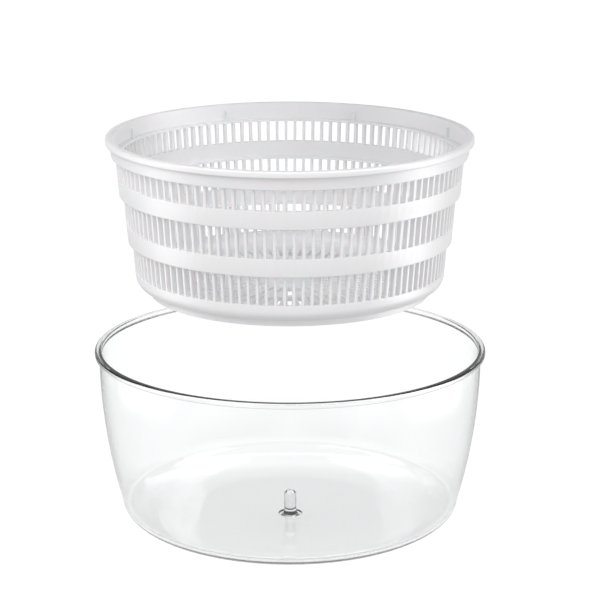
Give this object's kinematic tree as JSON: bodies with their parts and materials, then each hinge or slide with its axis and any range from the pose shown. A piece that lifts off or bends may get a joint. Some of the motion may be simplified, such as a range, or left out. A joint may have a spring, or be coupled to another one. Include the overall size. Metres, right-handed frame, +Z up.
{
  "type": "salad spinner",
  "caption": "Salad spinner with a clear bowl, a slotted spinning basket on a pivot, and a domed crank lid with planetary gears and a brake button.",
  "frame": {"origin": "centre of the bowl's foot, on the surface it stands on", "axes": "+Z up along the spin axis; +X along the crank arm at rest; the brake button is at -Y, the front"},
  "size_m": [0.266, 0.266, 0.4594],
  "materials": {
    "clear_plastic": "clear, polished",
    "white_plastic": "satin moulded",
    "pale_grey_plastic": "satin moulded",
    "gear_nylon": "moulded nylon",
    "steel": "plated",
    "silicone": "soft matte"
  },
  "bodies": {
    "bowl": {"bowl": "clear_plastic"},
    "pivot": {"pivot_bearing": "gear_nylon", "bearing_washer": "steel", "bearing_screw": "steel"},
    "basket": {"basket": "white_plastic"},
    "lid": {"lid_shell": "white_plastic", "lid_seal": "silicone", "gear_plate": "white_plastic", "gear_plate_screws": "steel", "planet_pins": "steel", "brake_spring": "steel"},
    "drive": {"sun_gear": "gear_nylon", "drive_disc": "white_plastic", "drive_disc_screw": "steel"},
    "crank": {"ring_gear": "gear_nylon", "thrust_washer": "gear_nylon", "crank_arm": "white_plastic", "crank_screw": "steel", "crank_cap": "pale_grey_plastic", "knob_pin": "steel"},
    "knob": {"crank_knob": "pale_grey_plastic", "knob_cap": "pale_grey_plastic"},
    "planet_1": {"planet_gear_1": "gear_nylon"},
    "planet_2": {"planet_gear_2": "gear_nylon"},
    "planet_3": {"planet_gear_3": "gear_nylon"},
    "brake": {"brake_button": "pale_grey_plastic", "brake_pad": "silicone"}
  },
  "joints": [
    {"name": "basket_lift", "type": "slide", "parent": "bowl", "child": "pivot", "axis": [0, 0, 1], "range_m": [-0.1496, 0]},
    {"name": "basket_spin", "type": "hinge", "parent": "pivot", "child": "basket", "pos_m": [0, 0, 0.169], "axis": [0, 0, 1], "continuous": true},
    {"name": "lid_lift", "type": "slide", "parent": "pivot", "child": "lid", "axis": [0, 0, 1], "range_m": [-0.123, 0]},
    {"name": "drive_spin", "type": "hinge", "parent": "lid", "child": "drive", "pos_m": [0, 0, 0.3936], "axis": [0, 0, 1], "continuous": true},
    {"name": "crank_spin", "type": "hinge", "parent": "lid", "child": "crank", "pos_m": [0, 0, 0.4136], "axis": [0, 0, 1], "continuous": true},
    {"name": "planet_1_spin", "type": "hinge", "parent": "lid", "child": "planet_1", "pos_m": [0.03, 0, 0.4036], "axis": [0, 0, 1], "continuous": true},
    {"name": "planet_2_spin", "type": "hinge", "parent": "lid", "child": "planet_2", "pos_m": [-0.015, 0.02598, 0.4036], "axis": [0, 0, 1], "continuous": true},
    {"name": "planet_3_spin", "type": "hinge", "parent": "lid", "child": "planet_3", "pos_m": [-0.015, -0.02598, 0.4036], "axis": [0, 0, 1], "continuous": true},
    {"name": "knob_spin", "type": "hinge", "parent": "crank", "child": "knob", "pos_m": [0.052, 0, 0.4336], "axis": [0, 0, 1], "continuous": true},
    {"name": "brake_press", "type": "slide", "parent": "lid", "child": "brake", "axis": [0, 0, 1], "range_m": [-0.0038, 0], "stiffness_N_per_m": 400, "springref_m": 0.003, "deforming": ["brake_spring"]}
  ],
  "couplings": [
    {"joint": "drive_spin", "follows": "basket_spin", "ratio": 1},
    {"joint": "crank_spin", "follows": "basket_spin", "ratio": -0.33333},
    {"joint": "planet_1_spin", "follows": "basket_spin", "ratio": -1},
    {"joint": "planet_2_spin", "follows": "basket_spin", "ratio": -1},
    {"joint": "planet_3_spin", "follows": "basket_spin", "ratio": -1}
  ]
}
